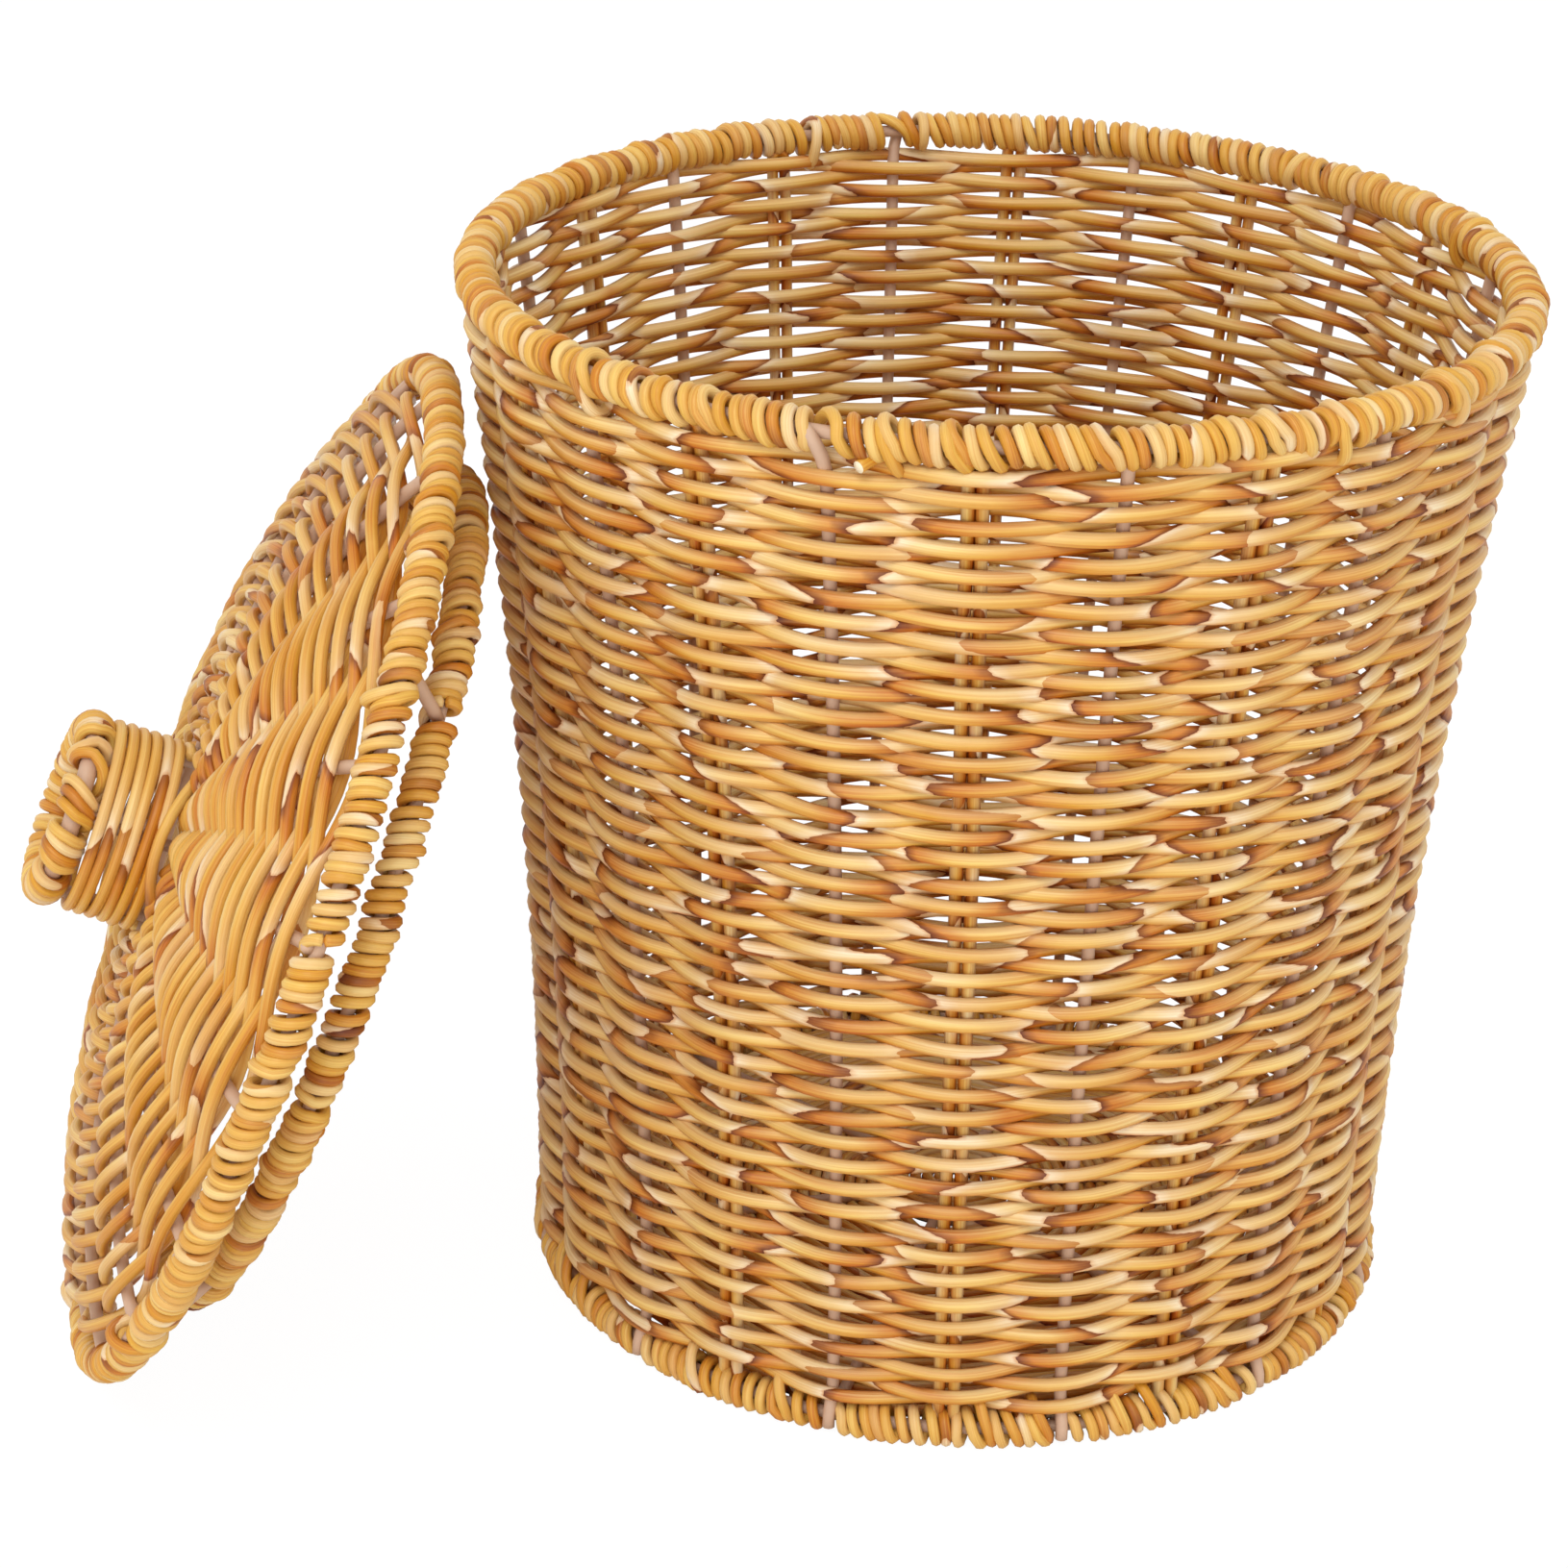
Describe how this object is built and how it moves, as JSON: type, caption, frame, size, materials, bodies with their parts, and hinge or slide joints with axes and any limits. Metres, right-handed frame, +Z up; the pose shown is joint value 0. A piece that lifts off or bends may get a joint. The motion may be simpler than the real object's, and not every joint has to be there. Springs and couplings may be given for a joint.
{
  "type": "storage basket",
  "caption": "Round woven storage basket on a steel wire frame, with wrapped rings and a domed woven lid with a wrapped knob, taken off and leaning on its side.",
  "frame": {"origin": "bottom centre of the whole set, with the lid leaning against the basket", "axes": "+Z up, -Y towards the viewer of the picture, the lid leans on the -X side; the basket's own axis stands at x 0.0666 m, y 0.0333 m"},
  "size_m": [0.464, 0.3976, 0.3397],
  "materials": {
    "woven_cane": "satin round synthetic cane, streaked from pale cream through golden tan to amber brown",
    "wrapped_cane": "the same cane, a little thinner, wound tightly turn beside turn",
    "coated_steel": "satin taupe powder coat on 4 mm steel wire"
  },
  "bodies": {
    "basket": {"top_ring": "coated_steel", "base_ring": "coated_steel", "rim_wrap": "wrapped_cane", "frame_upright_01": "coated_steel", "frame_upright_02": "coated_steel", "frame_upright_03": "coated_steel", "frame_upright_04": "coated_steel", "frame_upright_05": "coated_steel", "frame_upright_06": "coated_steel", "frame_upright_07": "coated_steel", "frame_upright_08": "coated_steel", "frame_upright_09": "coated_steel", "frame_upright_10": "coated_steel", "frame_upright_11": "coated_steel", "frame_upright_12": "coated_steel", "cane_stake_01": "woven_cane", "cane_stake_02": "woven_cane", "cane_stake_03": "woven_cane", "cane_stake_04": "woven_cane", "cane_stake_05": "woven_cane", "cane_stake_06": "woven_cane", "cane_stake_07": "woven_cane", "cane_stake_08": "woven_cane", "cane_stake_09": "woven_cane", "cane_stake_10": "woven_cane", "cane_stake_11": "woven_cane", "cane_stake_12": "woven_cane", "side_weave": "woven_cane", "base_frame": "coated_steel", "base_weave": "woven_cane", "base_wrap": "wrapped_cane"},
    "lid": {"lid_ring": "coated_steel", "locating_ring": "coated_steel", "lid_rim_wrap": "wrapped_cane", "locating_wrap": "wrapped_cane", "lid_hub_ring": "coated_steel", "lid_rib_01": "coated_steel", "lid_rib_02": "coated_steel", "lid_rib_03": "coated_steel", "lid_rib_04": "coated_steel", "lid_rib_05": "coated_steel", "lid_rib_06": "coated_steel", "lid_rib_07": "coated_steel", "lid_rib_08": "coated_steel", "lid_rib_09": "coated_steel", "lid_rib_10": "coated_steel", "lid_rib_11": "coated_steel", "lid_rib_12": "coated_steel", "lid_rib_13": "coated_steel", "lid_rib_14": "coated_steel", "lid_rib_15": "coated_steel", "lid_rib_16": "coated_steel", "lid_rib_17": "coated_steel", "lid_rib_18": "coated_steel", "lid_rib_19": "coated_steel", "lid_weave": "woven_cane", "knob_frame": "coated_steel", "knob_neck_wrap": "wrapped_cane", "knob_head_wrap": "wrapped_cane"}
  },
  "joints": [
    {"name": "lid_lift", "type": "slide", "parent": "basket", "child": "lid", "axis": [-0.9163, -0.1649, 0.3649], "range_m": [0, 0.25]}
  ]
}
